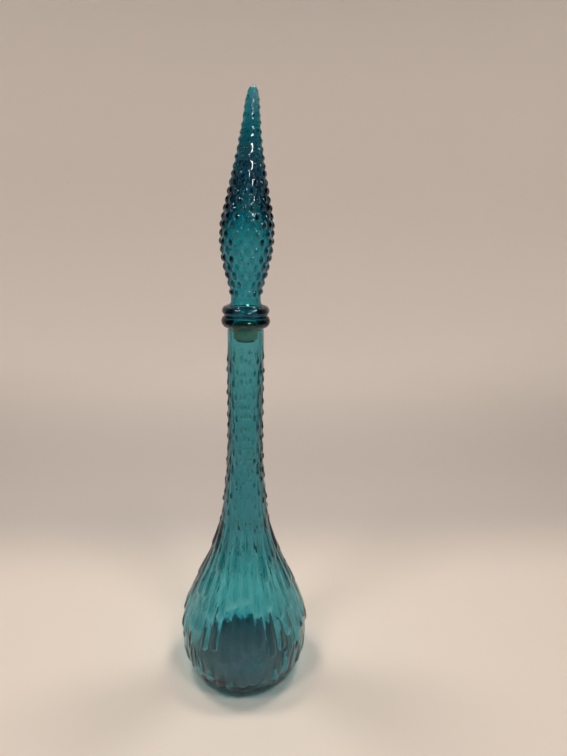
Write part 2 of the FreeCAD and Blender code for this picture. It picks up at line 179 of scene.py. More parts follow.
@dataclass(frozen=True)
class BlownGlass:
    """Soda-lime glass blown into a mould: clear, with a fire-polished, faintly rippled skin.

    The colour comes from depth: thin glass is pale teal, and thick glass turns to navy. Upright cords in the
    glass streak what shows through it, and below stipple_top_mm the mould's floor leaves a fine stipple. Lamp
    light passes to what stands under it, dyed by its depth, but less of it through the heel. The edge that it
    stands on is painted dark and dull: a painted shade where the heel meets the floor.
    """

    name: str
    body_colour: str = "00D9E1"
    density_per_metre: float = 340.0
    ior: float = 1.52
    ripple_mm: float = 3.6
    ripple_height_mm: float = 0.22
    ripple_stretch: float = 5.0
    grain_mm: float = 1.1
    grain_height_mm: float = 0.01
    stipple_top_mm: float = 0.0
    stipple_mm: float = 3.0
    stipple_height_mm: float = 1.1
    stipple_fade_mm: float = 2.0
    roughness: Span = (0.0, 0.03)
    polish_span: Span = (0.3, 0.75)
    clear_colour: str = "FFFFFF"
    shadow_tint: str = "F2F2F2"
    heel_tint: str = "8C857E"
    heel_mm: Span = (4.0, 30.0)
    heel_ring_mm: Span = (44.0, 52.0)
    # painted shade at the foot: its colour, the heights over which it fades out, and how strongly it covers
    # the glass
    foot_shade_colour: str = "55504A"
    foot_shade_mm: Span = (3.0, 7.0)
    foot_shade_share: float = 0.0

    def skin(self, tree: bpy.types.NodeTree, place: bpy.types.NodeSocket, level: bpy.types.NodeSocket,
             wave: bpy.types.NodeSocket) -> bpy.types.NodeSocket:
        """Add the fine relief of the surface.

        Args:
            tree: the material's nodes.
            place: object coordinates.
            level: the height in them.
            wave: the slow ripple.

        Returns:
            The bent normal.
        """
        grain = add_node(tree, "ShaderNodeTexNoise", {
            "Vector": place, "Scale": per_millimetre(self.grain_mm), "Detail": 2.0})
        rippled = add_node(tree, "ShaderNodeBump", {"Height": wave, "Distance": self.ripple_height_mm * MM})
        skin = add_node(tree, "ShaderNodeBump", {
            "Height": grain.outputs["Fac"], "Distance": self.grain_height_mm * MM,
            "Normal": rippled.outputs["Normal"]})
        if self.stipple_top_mm:
            dots = add_node(tree, "ShaderNodeTexNoise", {
                "Vector": place, "Scale": per_millimetre(self.stipple_mm), "Detail": 1.0})
            fade = (self.stipple_top_mm, self.stipple_top_mm + self.stipple_fade_mm)
            skin = add_node(tree, "ShaderNodeBump", {
                "Height": dots.outputs["Fac"], "Distance": self.stipple_height_mm * MM,
                "Strength": share_between(tree, level, fade, (1.0, 0.0)), "Normal": skin.outputs["Normal"]})
        return skin.outputs["Normal"]

    def passing(self, tree: bpy.types.NodeTree, place: bpy.types.NodeSocket,
                level: bpy.types.NodeSocket) -> bpy.types.NodeSocket:
        """Let lamp light through, and less of it at the heel.

        Args:
            tree: the material's nodes.
            place: object coordinates.
            level: the height in them.

        Returns:
            The shader that shadow rays meet.
        """
        flat = add_node(tree, "ShaderNodeVectorMath", {0: place, 1: (1.0, 1.0, 0.0)}, operation="MULTIPLY")
        aside = add_node(tree, "ShaderNodeVectorMath", {0: flat.outputs["Vector"]}, operation="LENGTH")
        heel = add_node(tree, "ShaderNodeMath", {
            0: share_between(tree, aside.outputs["Value"], self.heel_ring_mm),
            1: share_between(tree, level, self.heel_mm, (1.0, 0.0))}, operation="MULTIPLY")
        tint = blend(tree, heel.outputs["Value"], linear(self.shadow_tint), linear(self.heel_tint))
        return add_node(tree, "ShaderNodeBsdfTransparent", {"Color": tint}).outputs["BSDF"]

    def material(self) -> bpy.types.Material:
        """Build the shader.

        Returns:
            The finished material.
        """
        material = blank_material(self.name)
        tree = material.node_tree
        place = add_node(tree, "ShaderNodeTexCoord").outputs["Object"]
        level = add_node(tree, "ShaderNodeSeparateXYZ", {"Vector": place}).outputs["Z"]
        upright = add_node(tree, "ShaderNodeMapping", {
            "Vector": place, "Scale": (1.0, 1.0, 1 / self.ripple_stretch)})
        wave = add_node(tree, "ShaderNodeTexNoise", {
            "Vector": upright.outputs["Vector"], "Scale": per_millimetre(self.ripple_mm),
            "Detail": 1.0}).outputs["Fac"]
        polish = add_node(tree, "ShaderNodeMapRange", {
            "Value": wave, "From Min": self.polish_span[0], "From Max": self.polish_span[1],
            "To Min": self.roughness[0], "To Max": self.roughness[1]})
        # Painted shade: the lowest millimetres of the glass turn dark and less clear where the heel meets the
        # floor.
        clear = share_between(tree, level, self.foot_shade_mm, (1 - self.foot_shade_share, 1.0))
        glass = add_node(tree, "ShaderNodeBsdfPrincipled", {
            "Base Color": blend(tree, clear, linear(self.foot_shade_colour), linear(self.clear_colour)),
            "Transmission Weight": clear, "IOR": self.ior, "Roughness": polish.outputs["Result"],
            "Normal": self.skin(tree, place, level, wave)})
        surface = add_node(tree, "ShaderNodeMixShader", {
            0: add_node(tree, "ShaderNodeLightPath").outputs["Is Shadow Ray"],
            1: glass.outputs["BSDF"], 2: self.passing(tree, place, level)})
        depth = add_node(tree, "ShaderNodeVolumeAbsorption", {
            "Color": linear(self.body_colour), "Density": self.density_per_metre})
        add_node(tree, "ShaderNodeOutputMaterial", {
            "Surface": surface.outputs["Shader"], "Volume": depth.outputs["Volume"]})
        return material


@dataclass(frozen=True)
class GroundCork:
    """Natural cork, ground round: dry and matt, with short dark pores across a tan body.

    Its upper end, where it sits under the collar, is painted dark: painted shade from the collar and lip
    above it.
    """

    name: str = "ground_natural_cork"
    body: str = "898161"
    pale: str = "9B9375"
    pore: str = "6E6142"
    # painted shade under the collar: its colour and the heights over which it comes in
    collar_shade: str = "38331F"
    collar_shade_mm: Span = (361.0, 373.0)
    cell_mm: float = 2.2
    cell_span: Span = (0.35, 0.65)
    pore_mm: float = 3.4
    pore_span: Span = (0.12, 0.26)
    pit_mm: float = 0.25
    roughness: float = 0.82
    specular: float = 0.05

    def material(self) -> bpy.types.Material:
        """Build the shader.

        Returns:
            The finished material.
        """
        material = blank_material(self.name)
        tree = material.node_tree
        place = add_node(tree, "ShaderNodeTexCoord").outputs["Object"]
        level = add_node(tree, "ShaderNodeSeparateXYZ", {"Vector": place}).outputs["Z"]
        cells = add_node(tree, "ShaderNodeTexNoise", {
            "Vector": place, "Scale": per_millimetre(self.cell_mm), "Detail": 4.0, "Roughness": 0.65})
        tint = add_node(tree, "ShaderNodeValToRGB", {"Fac": cells.outputs["Fac"]})
        for stop, position, colour in zip(tint.color_ramp.elements, self.cell_span, (self.body, self.pale)):
            stop.position = position
            stop.color = linear(colour)
        pores = add_node(tree, "ShaderNodeTexVoronoi", {
            "Vector": place, "Scale": per_millimetre(self.pore_mm), "Randomness": 1.0})
        pitted = add_node(tree, "ShaderNodeMapRange", {
            "Value": pores.outputs["Distance"], "From Min": self.pore_span[0], "From Max": self.pore_span[1],
            "To Min": 1.0, "To Max": 0.0})
        clean = blend(tree, pitted.outputs["Result"], tint.outputs["Color"], linear(self.pore))
        # Painted shade: the cork darkens towards its top, under the collar.
        collar_shaded = share_between(tree, level, self.collar_shade_mm)
        relief = add_node(tree, "ShaderNodeBump", {
            "Height": pitted.outputs["Result"], "Distance": self.pit_mm * MM}, invert=True)
        cork = add_node(tree, "ShaderNodeBsdfPrincipled", {
            "Base Color": blend(tree, collar_shaded, clean, linear(self.collar_shade)), "Roughness": self.roughness,
            "Specular IOR Level": self.specular, "Normal": relief.outputs["Normal"]})
        add_node(tree, "ShaderNodeOutputMaterial", {"Surface": cork.outputs["BSDF"]})
        return material


@dataclass(frozen=True)
class GradedPaper:
    """A studio paper sweep: matt and pale round the object and on the wall, and painted darker on the floor
    behind it, a painted fall-off of light away from the object.

    Where it rises in front of the object it is pale to the eye and through the glass, but glass reflects it
    dark, as it does an unlit room.
    """

    name: str = "graded_studio_paper"
    pale: str = "DDD1C6"
    # painted shade: the colour of the floor behind the object
    far_floor_shade: str = "BFB6B0"
    wall: str = "E6DCD5"
    shade: str = "3A3633"
    roughness: float = 0.9
    specular: float = 0.05
    far_shade_mm: Span = (110.0, 300.0)
    wall_mm: Span = (420.0, 1150.0)
    shade_mm: Span = (900.0, 100.0)
    rise_mm: Span = (20.0, 300.0)

    def material(self) -> bpy.types.Material:
        """Build the shader.

        Returns:
            The finished material.
        """
        material = blank_material(self.name)
        tree = material.node_tree
        place = add_node(tree, "ShaderNodeTexCoord").outputs["Object"]
        part = add_node(tree, "ShaderNodeSeparateXYZ", {"Vector": place})
        away = part.outputs["Y"]
        # Painted shade: the floor behind the object is painted darker, as if the light fell off there.
        behind = share_between(tree, away, self.far_shade_mm, smooth=True)
        ground = blend(tree, behind, linear(self.pale), linear(self.far_floor_shade))
        beyond = share_between(tree, away, self.wall_mm, smooth=True)
        sweep = blend(tree, beyond, ground, linear(self.wall))
        front = add_node(tree, "ShaderNodeMath", {
            0: share_between(tree, part.outputs["Z"], self.rise_mm, smooth=True),
            1: share_between(tree, away, self.shade_mm, smooth=True)}, operation="MULTIPLY")
        ray = add_node(tree, "ShaderNodeLightPath")
        viewed = add_node(tree, "ShaderNodeMath", {
            0: ray.outputs["Is Camera Ray"], 1: ray.outputs["Is Transmission Ray"]}, operation="MAXIMUM")
        shown = blend(tree, viewed.outputs["Value"], linear(self.shade), sweep)
        paper = add_node(tree, "ShaderNodeBsdfPrincipled", {
            "Base Color": blend(tree, front.outputs["Value"], sweep, shown), "Roughness": self.roughness,
            "Specular IOR Level": self.specular})
        add_node(tree, "ShaderNodeOutputMaterial", {"Surface": paper.outputs["BSDF"]})
        return material


def curve_points(poles: list[Pole], resolution: int = 48) -> list[Vector]:
    """Points on the smooth curve that the frame's outlines follow.

    Args:
        poles: radius and height of each pole, in millimetres.
        resolution: points for each span of the curve.

    Returns:
        Points in the XZ plane, in metres, from the first pole to the last.
    """
    curve = bpy.data.curves.new("outline", "CURVE")
    curve.dimensions = "3D"
    line = curve.splines.new("NURBS")
    line.points.add(len(poles) - 1)
    for point, (radius, height) in zip(line.points, poles):
        point.co = (radius * MM, 0.0, height * MM, 1.0)
    line.order_u = 4
    line.use_endpoint_u = True
    line.resolution_u = resolution
    holder = bpy.data.objects.new("outline", curve)
    mesh = bpy.data.meshes.new_from_object(holder)
    points = [vertex.co.copy() for vertex in mesh.vertices]
    bpy.data.meshes.remove(mesh)
    bpy.data.objects.remove(holder)
    bpy.data.curves.remove(curve)
    return points


def arc_points(centre: Pole, radius: float, start: float, end: float, count: int = 24) -> list[Vector]:
    """Points on an arc of the outline.

    Args:
        centre: radius and height of the arc's middle, in millimetres.
        radius: the arc's own radius, in millimetres.
        start: angle of its first point in degrees, from outwards towards up.
        end: angle of its last point.
        count: steps between them.

    Returns:
        Points in the XZ plane, in metres.
    """
    turns = (math.radians(start + (end - start) * step / count) for step in range(count + 1))
    return [Vector((centre[0] + radius * math.cos(turn), 0.0, centre[1] + radius * math.sin(turn))) * MM
            for turn in turns]


def line_points(*corners: Pole) -> list[Vector]:
    """The corners of a straight stretch of the outline, in metres."""
    return [Vector((radius, 0.0, height)) * MM for radius, height in corners]


def paced(points: list[Vector], step: float) -> list[Vector]:
    """Spread points along a line at an even pace.

    Args:
        points: the line's own points.
        step: about how far apart the new ones lie, in metres.

    Returns:
        Points along the line, its two ends among them.
    """
    marks = [0.0]
    for start, end in zip(points, points[1:]):
        marks.append(marks[-1] + (end - start).length)
    count = max(1, round(marks[-1] / step))
    spread, index = [], 0
    for number in range(count + 1):
        reach = marks[-1] * number / count
        while index < len(points) - 2 and marks[index + 1] < reach:
            index += 1
        share = (reach - marks[index]) / max(marks[index + 1] - marks[index], 1e-12)
        spread.append(points[index].lerp(points[index + 1], share))
    return spread


@dataclass
class Band:
    """A run of the outline that is turned with one number of columns."""

    columns: int
    points: list[Vector] = field(default_factory=list)
    skins: list[Skin] = field(default_factory=list)


@dataclass
class Outline:
    """The half section of a turned shell, stretch by stretch."""

    bands: list[Band] = field(default_factory=list)

    def run(self, points: list[Vector], skin: Skin, step: float, columns: Optional[int] = None) -> None:
        """Add a stretch that starts where the last one ended.

        Args:
            points: the stretch, in metres.
            skin: what the mould leaves on it.
            step: pace of the shell's rows along it, in millimetres.
            columns: faces round the shell from here on, if they change.
        """
        spread = paced(points, step * MM)
        if self.bands:
            spread = spread[1:]
        if columns:
            self.bands.append(Band(columns))
        self.bands[-1].points += spread
        self.bands[-1].skins += [skin] * len(spread)

    def turned(self) -> bmesh.types.BMesh:
        """Turn the outline about the Z axis into a closed shell.

        Returns:
            The shell, with each vertex's skin in its "skin" layer.
        """
        shell = bmesh.new()
        layer = shell.verts.layers.int.new("skin")
        for band in self.bands:
            line = []
            for point, skin in zip(band.points, band.skins):
                vertex = shell.verts.new(point)
                vertex[layer] = skin.value
                line.append(vertex)
            edges = [shell.edges.new(pair) for pair in zip(line, line[1:])]
            bmesh.ops.spin(shell, geom=line + edges, axis=(0, 0, 1), cent=(0, 0, 0), dvec=(0, 0, 0),
                           angle=FULL_TURN, steps=band.columns, use_merge=True)
        bmesh.ops.remove_doubles(shell, verts=shell.verts[:], dist=MERGE_DISTANCE)
        rims = [edge for edge in shell.edges if edge.is_boundary]
        for below, above in zip(self.bands, self.bands[1:]):
            ends = (below.points[-1], above.points[0])
            seam = [edge for edge in rims if any(on_ring(edge.verts[0].co, end) for end in ends)]
            bmesh.ops.bridge_loops(shell, edges=seam)
        bmesh.ops.recalc_face_normals(shell, faces=shell.faces[:])
        shell.normal_update()
        return shell


def on_ring(point: Vector, end: Vector) -> bool:
    """Whether a point lies on the ring that an outline point is turned into."""
    aside = abs(math.hypot(point.x, point.y) - end.x)
    return aside < RING_TOLERANCE and abs(point.z - end.z) < RING_TOLERANCE


@dataclass(frozen=True)
class Drop:
    """One raised drop of glass: a round lower end, and a tail that runs up from it and thins out.

    Its half turn is in radians round the axis, so a long drop narrows with the shell. Lengths are in
    millimetres. A fullness of 1 gives it a round section, and a lower one steeper sides.
    """

    turn: float
    half_turn: float
    height: float
    rise: float
    below: float
    above: float
    tail: float = 0.0
    tail_rise: float = 0.0
    sway: float = 0.0
    phase: float = 0.0
    sway_length: float = 26.0
    fullness: float = 1.0

    def rise_at(self, turn: float, level: float) -> float:
        """How far the drop lifts the surface at a point.

        Args:
            turn: the point's angle round the axis.
            level: its height above the drop's middle.

        Returns:
            The lift, in millimetres.
        """
        aside = (turn - self.turn + math.pi) % FULL_TURN - math.pi
        across = aside / self.half_turn
        if self.sway and level > 0:
            bend = math.sin(level / self.sway_length * FULL_TURN + self.phase) - math.sin(self.phase)
            across += self.sway * bend
        along = level / (self.below if level < 0 else self.above)
        blob = max(0.0, 1 - across * across - along * along) ** self.fullness
        if 0 < level < self.tail:
            fade = 1 - (level / self.tail) ** 3
            ridge = self.tail_rise * fade * max(0.0, 1 - across * across) ** self.fullness
            return self.rise * max(blob, ridge)
        return self.rise * blob


class Relief:
    """The raised skin of a turned shell, sorted so that each drop finds its own vertices."""

    SLICES = 180

    def __init__(self, shell: bmesh.types.BMesh) -> None:
        """Sort the skin's vertices by angle and height.

        Args:
            shell: the shell, still round.
        """
        layer = shell.verts.layers.int["skin"]
        self.slices: list[list[tuple[float, float, bmesh.types.BMVert]]] = [[] for _ in range(self.SLICES)]
        for vertex in shell.verts:
            if vertex[layer] == Skin.RAISED.value:
                turn = math.atan2(vertex.co.y, vertex.co.x) % FULL_TURN
                self.slices[self.slice_of(turn)].append((vertex.co.z / MM, turn, vertex))
        for entries in self.slices:
            entries.sort(key=lambda entry: entry[0])
        self.levels = [[entry[0] for entry in entries] for entries in self.slices]
        self.lift: dict[bmesh.types.BMVert, float] = {}

    def slice_of(self, turn: float) -> int:
        """The slice that an angle from 0 to a full turn lies in."""
        return int(turn / FULL_TURN * self.SLICES) % self.SLICES

    def add(self, drop: Drop) -> None:
        """Lift the skin to a drop. Where drops meet, the higher one shows.

        Args:
            drop: the drop.
        """
        width = drop.half_turn * (1 + 2 * drop.sway)
        first = math.floor((drop.turn - width) / FULL_TURN * self.SLICES)
        last = math.floor((drop.turn + width) / FULL_TURN * self.SLICES)
        for number in range(first, last + 1):
            index = number % self.SLICES
            low = bisect_left(self.levels[index], drop.height - drop.below)
            high = bisect_right(self.levels[index], drop.height + max(drop.above, drop.tail))
            for level, turn, vertex in self.slices[index][low:high]:
                rise = drop.rise_at(turn, level - drop.height)
                if rise > self.lift.get(vertex, 0.0):
                    self.lift[vertex] = rise

    def press(self) -> None:
        """Move every lifted vertex out along the round shell's own normal."""
        moves = [(vertex, vertex.normal * rise * MM) for vertex, rise in self.lift.items()]
        for vertex, move in moves:
            vertex.co += move


def ripple(shell: bmesh.types.BMesh, skin: Skin, height: float, width: float) -> None:
    """Give a skin the slow waves that blowing leaves.

    Args:
        shell: the shell.
        skin: which stretches to move.
        height: most that a point moves, in millimetres.
        width: about how wide the waves are, in millimetres.
    """
    layer = shell.verts.layers.int["skin"]
    shell.normal_update()
    for vertex in shell.verts:
        if vertex[layer] == skin.value:
            vertex.co += vertex.normal * noise.noise(vertex.co / (width * MM)) * height * MM


def finished(name: str, shell: bmesh.types.BMesh, material: bpy.types.Material, body: str,
             node: str) -> bpy.types.Object:
    """Make a shell a smooth piece that stands for a frame node and rides on its body.

    Args:
        name: the piece's name.
        shell: its mesh, which is used up.
        material: its finish.
        body: the frame body that it moves with.
        node: the frame node that it stands for.

    Returns:
        The piece.
    """
    mesh = bpy.data.meshes.new(name)
    for face in shell.faces:
        face.smooth = True
    shell.to_mesh(mesh)
    shell.free()
    mesh.materials.append(material)
    piece = bpy.data.objects.new(name, mesh)
    bpy.context.scene.collection.objects.link(piece)
    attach(piece, body)
    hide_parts(node)
    LOG.info("%s: %d faces on body %s", name, len(mesh.polygons), body)
    return piece


@dataclass(frozen=True)
class DripTier:
    """A ring of drips round the bottle, placed as on the frame, with thinner glass that runs down to each."""

    count: int
    end: float
    spread: float
    length: float
    shift: float
    run: Span
    roundness: float = 0.85
    tail_rise: Span = (0.5, 0.7)
    sway: Span = (0.0, 0.06)

    def drops(self, draw: random.Random, bottle: "BlownBottle") -> Iterator[Drop]:
        """The tier's drips.

        Args:
            draw: the source of chance.
            bottle: the bottle that carries them.

        Yields:
            Each drip.
        """
        step = FULL_TURN / self.count
        for number in range(self.count):
            turn = math.radians(bottle.drip_start) + (number + self.shift) * step
            end = self.end + (number // 2 * GOLDEN_SHARE + number % 2 / 2) % 1 * self.spread
            half_turn = bottle.drip_half_width / bottle.radius_at(end)
            below = self.roundness * bottle.drip_half_width
            yield Drop(turn % FULL_TURN, half_turn, end + below, draw.uniform(*bottle.drip_rise),
                       below, self.length, draw.uniform(*self.run), draw.uniform(*self.tail_rise),
                       draw.uniform(*self.sway), draw.uniform(0, FULL_TURN),
                       fullness=bottle.drip_fullness)


@dataclass(frozen=True)
class ThinRuns:
    """A ring of thin runs of glass between the drips. Each pair gives the least and the greatest."""

    count: int
    end: Span
    length: Span
    half_width: Span = (2.0, 3.0)
    rise: Span = (0.9, 1.5)
    stray: float = 0.4
    below_share: float = 1.2
    above_share: float = 3.0
    tail_rise: Span = (0.6, 0.8)
    sway: Span = (0.0, 0.12)

    def drops(self, draw: random.Random, bottle: "BlownBottle") -> Iterator[Drop]:
        """The runs.

        Args:
            draw: the source of chance.
            bottle: the bottle that carries them.

        Yields:
            Each run.
        """
        step = FULL_TURN / self.count
        for number in range(self.count):
            turn = (number + draw.uniform(-self.stray, self.stray)) * step
            end = draw.uniform(*self.end)
            width = draw.uniform(*self.half_width)
            yield Drop(turn % FULL_TURN, width / bottle.radius_at(end), end, draw.uniform(*self.rise),
                       self.below_share * width, self.above_share * width, draw.uniform(*self.length),
                       draw.uniform(*self.tail_rise), draw.uniform(*self.sway),
                       draw.uniform(0, FULL_TURN), fullness=bottle.drip_fullness)


@dataclass
class BlownBottle:
    """The bottle: bulb, slope, neck and rolled lip, with drips that run down from the neck."""

    side: tuple[Pole, ...] = (
        (45.0, 0.0), (51.8, 0.0), (61.4, 17.5), (66.2, 51.6), (57.9, 79.9),
        (40.9, 118.6), (24.3, 157.3), (19.4, 205.0), (16.2, 239.0), (16.2, 270.0))
    inner_walls: tuple[float, ...] = (4.9, 5.1, 5.2, 4.4, 3.4, 2.8, 2.7)
    mouth_wall: float = 3.6
    mouth_wall_foot: float = 350.0
    foot_inner_radius: float = 33.0
    punt_height: float = 4.0
    punt_shoulder: float = 0.8
    floor_height: float = 13.0
    inner_heel: tuple[Pole, ...] = (
        (57.8, 12.0), (42.0, 8.0), (27.0, 7.0), (22.0, 13.0), (10.0, 13.0))
    lip_thickness: float = 10.6
    lip_land: float = 0.3
    mouth_bevel: float = 0.8
    base_columns: int = 120
    bulb_columns: int = 384
    neck_columns: int = 192
    inner_columns: int = 128
    base_row: float = 4.0
    bulb_row: float = 1.8
    neck_row: float = 0.9
    plain_row: float = 3.0
    lip_row: float = 1.2
    inner_row: float = 9.0
    heel_row: float = 4.0
    ripple_height: float = 0.35
    ripple_width: float = 22.0
    seed: int = 7
    plain_top: float = 342.0
    neck_foot: float = 172.0
    drop_pitch: float = 11.0
    drops_round: int = 12
    drop_half_width: Span = (1.4, 1.9)
    drop_stray: float = 0.12
    drop_scatter: float = 2.5
    drop_rise: Span = (1.0, 1.5)
    drop_below: Span = (1.8, 2.6)
    drop_above: Span = (3.4, 5.0)
    drop_tail: Span = (10.0, 18.0)
    drop_tail_rise: float = 0.3
    drop_fullness: float = 0.55
    drip_start: float = 46.0
    drip_half_width: float = 4.8
    drip_rise: Span = (1.4, 2.1)
    drip_fullness: float = 0.72
    tiers: tuple[DripTier, ...] = (
        DripTier(34, 10.0, 16.0, 22.0, 0.0, (20, 34)),
        DripTier(34, 46.0, 24.0, 20.0, 0.5, (34, 62)),
        DripTier(26, 82.0, 26.0, 26.0, 0.25, (34, 56)),
        DripTier(14, 118.0, 28.0, 30.0, 0.0, (36, 56)),
    )
    thin_runs: tuple[ThinRuns, ...] = (
        ThinRuns(34, (5, 30), (24, 40)),
        ThinRuns(22, (44, 84), (36, 64)),
        ThinRuns(20, (96, 160), (24, 44)),
    )

    def outline(self) -> Outline:
        """Draw the half section, from under the base, up the outside and down the inside.

        Returns:
            The outline.
        """
        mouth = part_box("bottle")[1].z / MM
        neck = self.side[-1][0]
        bore = neck - self.mouth_wall
        roll = neck + self.lip_land
        half_lip = self.lip_thickness / 2
        low_lip = mouth - self.lip_thickness
        ring = self.foot_inner_radius
        poles = zip(self.side[::-1], self.inner_walls)
        inside = [(radius - wall, height) for (radius, height), wall in poles]
        inside += self.inner_heel
        punt = [(0.0, self.punt_height), (ring / 2, self.punt_height),
                (ring * self.punt_shoulder, self.punt_height / 2), (ring, 0.0)]
        side = self.side_points
        turn = next(index for index, point in enumerate(side) if point.z > self.neck_foot * MM)
        low_neck = side[turn:] + line_points(self.side[-1], (neck, self.plain_top))
        bevel = (bore + self.mouth_bevel, mouth)
        outline = Outline()
        outline.run(curve_points(punt), Skin.PLAIN, self.base_row, self.base_columns)
        outline.run(line_points((ring, 0.0), self.side[0]), Skin.PLAIN, self.base_row)
        outline.run(side[:turn + 1], Skin.RAISED, self.bulb_row, self.bulb_columns)
        outline.run(low_neck, Skin.RAISED, self.neck_row, self.neck_columns)
        outline.run(line_points((neck, self.plain_top), (neck, low_lip)), Skin.RAISED, self.plain_row)
        outline.run(line_points((neck, low_lip), (roll, low_lip)), Skin.PLAIN, self.lip_row)
        lip = arc_points((roll, low_lip + half_lip), half_lip, -90, 90)
        outline.run(lip, Skin.PLAIN, self.lip_row)
        outline.run(line_points((roll, mouth), bevel), Skin.PLAIN, self.lip_row)
        outline.run(line_points(bevel, (bore, mouth - self.mouth_bevel)), Skin.PLAIN, self.lip_row)
        outline.run(line_points((bore, mouth - self.mouth_bevel), (bore, self.mouth_wall_foot), inside[0]),
                    Skin.BLOWN, self.inner_row, self.inner_columns)
        outline.run(curve_points(inside), Skin.BLOWN, self.heel_row)
        floor = line_points(self.inner_heel[-1], (0.0, self.floor_height))
        outline.run(floor, Skin.BLOWN, self.inner_row)
        return outline

    @cached_property
    def side_points(self) -> list[Vector]:
        """Points up the plain outside, to the lower end of the straight neck."""
        return curve_points(list(self.side))

    def radius_at(self, height: float) -> float:
        """The plain outside's radius at a height, both in millimetres."""
        return min(self.side_points, key=lambda point: abs(point.z / MM - height)).x / MM

    def neck_drops(self, draw: random.Random) -> Iterator[Drop]:
        """Staggered small drops with faint tails, down the neck.

        Args:
            draw: the source of chance.

        Yields:
            Each drop.
        """
        rows = int((self.plain_top - self.neck_foot) / self.drop_pitch)
        step = FULL_TURN / self.drops_round
        for row in range(rows + 1):
            height = self.neck_foot + row * self.drop_pitch
            radius = self.radius_at(height)
            for column in range(self.drops_round):
                width = draw.uniform(*self.drop_half_width)
                turn = (column + row % 2 / 2 + draw.uniform(-self.drop_stray, self.drop_stray)) * step
                level = height + draw.uniform(-self.drop_scatter, self.drop_scatter)
                yield Drop(turn % FULL_TURN, width / radius, level, draw.uniform(*self.drop_rise),
                           draw.uniform(*self.drop_below), draw.uniform(*self.drop_above),
                           draw.uniform(*self.drop_tail), self.drop_tail_rise, fullness=self.drop_fullness)

    def build(self, glass: BlownGlass) -> bpy.types.Object:
        """Make the bottle.

        Args:
            glass: its finish.

        Returns:
            The piece.
        """
        shell = self.outline().turned()
        ripple(shell, Skin.BLOWN, self.ripple_height, self.ripple_width)
        draw = random.Random(self.seed)
        relief = Relief(shell)
        for drop in self.neck_drops(draw):
            relief.add(drop)
        for ring in (*self.tiers, *self.thin_runs):
            for drop in ring.drops(draw, self):
                relief.add(drop)
        relief.press()
        return finished("blown_bottle", shell, glass.material(), "bottle", "bottle")


